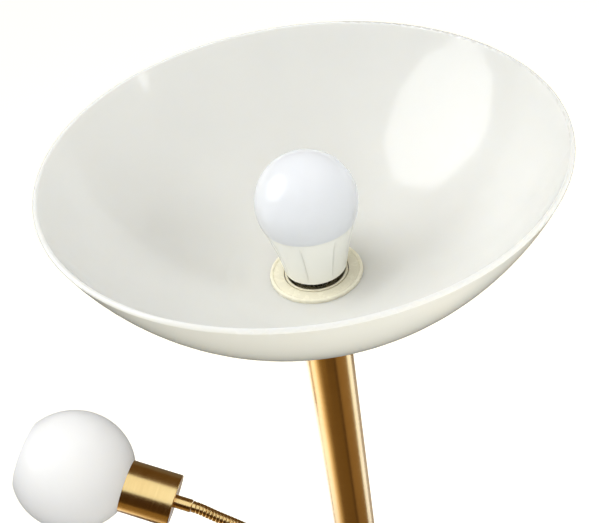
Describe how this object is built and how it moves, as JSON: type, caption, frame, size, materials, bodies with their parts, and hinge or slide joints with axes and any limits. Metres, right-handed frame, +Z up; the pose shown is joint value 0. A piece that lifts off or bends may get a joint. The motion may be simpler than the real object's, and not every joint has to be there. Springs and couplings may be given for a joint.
{
  "type": "torchiere floor lamp with reading light",
  "caption": "Tall floor lamp: an open bowl throws light upward from the top of a pole on a weighted round base, and a small globe on a bendable neck gives reading light.",
  "frame": {"origin": "where the pole's axis meets the floor, under the middle of the round base", "axes": "+Z up the pole; the neck leans out toward -X at rest; -Y is the front, where the two switch knobs are"},
  "size_m": [0.4225, 0.292, 1.78],
  "materials": {
    "satin_brass": "satin brushed",
    "acrylic": "translucent milky gloss",
    "opal_glass": "satin opal",
    "cream_plastic": "gloss moulded",
    "diffuser": "gloss milky",
    "bulb_body": "gloss moulded",
    "nickel": "plated",
    "zinc_steel": "zinc plated",
    "cast_iron": "as cast",
    "foam": "closed-cell foam",
    "black_plastic": "moulded",
    "lead_sheath": "sheathed flex"
  },
  "bodies": {
    "stand": {"base_pad": "foam", "base_weight": "cast_iron", "base_cover": "satin_brass", "cord_bushing": "black_plastic", "base_nipple": "zinc_steel", "base_washer": "zinc_steel", "base_nut": "zinc_steel", "pole_flange": "satin_brass", "pole_lower": "satin_brass", "pole_coupler": "zinc_steel", "pole_middle": "satin_brass", "pole_upper": "satin_brass", "housing_shell": "satin_brass", "housing_bottom_cap": "satin_brass", "housing_top_cap": "satin_brass", "housing_grub_screws": "zinc_steel", "arm_elbow": "satin_brass", "elbow_nut": "zinc_steel", "switch_bodies": "black_plastic", "switch_back_plates": "black_plastic", "switch_collars": "satin_brass", "switch_nuts": "satin_brass", "main_cup": "satin_brass", "main_cup_nut": "zinc_steel", "top_nipple": "zinc_steel", "main_holder": "cream_plastic", "main_screw_shell": "nickel", "main_contact": "nickel", "main_lead": "lead_sheath", "bowl_shade": "acrylic", "shade_ring": "cream_plastic", "bulb_diffuser": "diffuser", "bulb_housing": "bulb_body", "bulb_cap": "nickel"},
    "main_knob": {"main_switch_rotor": "nickel", "main_switch_knob": "satin_brass"},
    "reading_knob": {"reading_switch_rotor": "nickel", "reading_switch_knob": "satin_brass"},
    "neck_01": {"neck_link_01": "satin_brass"},
    "neck_02": {"neck_link_02": "satin_brass"},
    "neck_03": {"neck_link_03": "satin_brass"},
    "neck_04": {"neck_link_04": "satin_brass"},
    "neck_05": {"neck_link_05": "satin_brass"},
    "neck_06": {"neck_link_06": "satin_brass"},
    "neck_07": {"neck_link_07": "satin_brass"},
    "neck_08": {"neck_link_08": "satin_brass"},
    "neck_09": {"neck_link_09": "satin_brass"},
    "neck_10": {"neck_link_10": "satin_brass"},
    "neck_11": {"neck_link_11": "satin_brass"},
    "reading_head": {"head_ferrule": "satin_brass", "reading_cup": "satin_brass", "reading_cup_nut": "zinc_steel", "reading_holder": "cream_plastic", "reading_screw_shell": "nickel", "reading_contact": "nickel", "reading_ring": "cream_plastic", "reading_globe": "opal_glass", "reading_bulb_diffuser": "diffuser", "reading_bulb_housing": "bulb_body", "reading_bulb_cap": "nickel"}
  },
  "joints": [
    {"name": "neck_bend_1", "type": "hinge", "parent": "stand", "child": "neck_01", "pos_m": [-0.04095, 0, 1.2355], "axis": [0, -1, 0], "range_deg": [-5, 14]},
    {"name": "neck_sway_1", "type": "hinge", "parent": "neck_01", "child": "neck_02", "pos_m": [-0.04095, 0, 1.2565], "axis": [1, 0, 0], "range_deg": [-12, 12]},
    {"name": "neck_bend_2", "type": "hinge", "parent": "neck_02", "child": "neck_03", "pos_m": [-0.04095, 0, 1.2775], "axis": [0, -1, 0], "range_deg": [-5, 14]},
    {"name": "neck_sway_2", "type": "hinge", "parent": "neck_03", "child": "neck_04", "pos_m": [-0.04095, 0, 1.2985], "axis": [1, 0, 0], "range_deg": [-12, 12]},
    {"name": "neck_bend_3", "type": "hinge", "parent": "neck_04", "child": "neck_05", "pos_m": [-0.04142, 0, 1.31948], "axis": [0, -1, 0], "range_deg": [-5, 14]},
    {"name": "neck_sway_3", "type": "hinge", "parent": "neck_05", "child": "neck_06", "pos_m": [-0.04534, 0, 1.34008], "axis": [0.9601, 0, 0.2798], "range_deg": [-12, 12]},
    {"name": "neck_bend_4", "type": "hinge", "parent": "neck_06", "child": "neck_07", "pos_m": [-0.0531, 0, 1.35956], "axis": [0, -1, 0], "range_deg": [-5, 14]},
    {"name": "neck_sway_4", "type": "hinge", "parent": "neck_07", "child": "neck_08", "pos_m": [-0.06441, 0, 1.37721], "axis": [0.7867, 0, 0.6174], "range_deg": [-12, 12]},
    {"name": "neck_bend_5", "type": "hinge", "parent": "neck_08", "child": "neck_09", "pos_m": [-0.07887, 0, 1.3924], "axis": [0, -1, 0], "range_deg": [-5, 14]},
    {"name": "neck_sway_5", "type": "hinge", "parent": "neck_09", "child": "neck_10", "pos_m": [-0.09595, 0, 1.40457], "axis": [0.5, 0, 0.866], "range_deg": [-12, 12]},
    {"name": "neck_bend_6", "type": "hinge", "parent": "neck_10", "child": "neck_11", "pos_m": [-0.11413, 0, 1.41507], "axis": [0, -1, 0], "range_deg": [-5, 14]},
    {"name": "neck_sway_6", "type": "hinge", "parent": "neck_11", "child": "reading_head", "pos_m": [-0.13232, 0, 1.42557], "axis": [0.4206, 0, 0.9072], "range_deg": [-12, 12]},
    {"name": "main_switch_turn", "type": "hinge", "parent": "stand", "child": "main_knob", "pos_m": [0, -0.03, 1.2405], "axis": [0, -1, 0], "continuous": true},
    {"name": "reading_switch_turn", "type": "hinge", "parent": "stand", "child": "reading_knob", "pos_m": [0, -0.03, 1.2025], "axis": [0, -1, 0], "continuous": true}
  ],
  "couplings": [
    {"joint": "neck_bend_2", "follows": "neck_bend_1", "ratio": 1},
    {"joint": "neck_sway_2", "follows": "neck_sway_1", "ratio": 1},
    {"joint": "neck_bend_3", "follows": "neck_bend_1", "ratio": 1},
    {"joint": "neck_sway_3", "follows": "neck_sway_1", "ratio": 1},
    {"joint": "neck_bend_4", "follows": "neck_bend_1", "ratio": 1},
    {"joint": "neck_sway_4", "follows": "neck_sway_1", "ratio": 1},
    {"joint": "neck_bend_5", "follows": "neck_bend_1", "ratio": 1},
    {"joint": "neck_sway_5", "follows": "neck_sway_1", "ratio": 1},
    {"joint": "neck_bend_6", "follows": "neck_bend_1", "ratio": 1},
    {"joint": "neck_sway_6", "follows": "neck_sway_1", "ratio": 1}
  ]
}
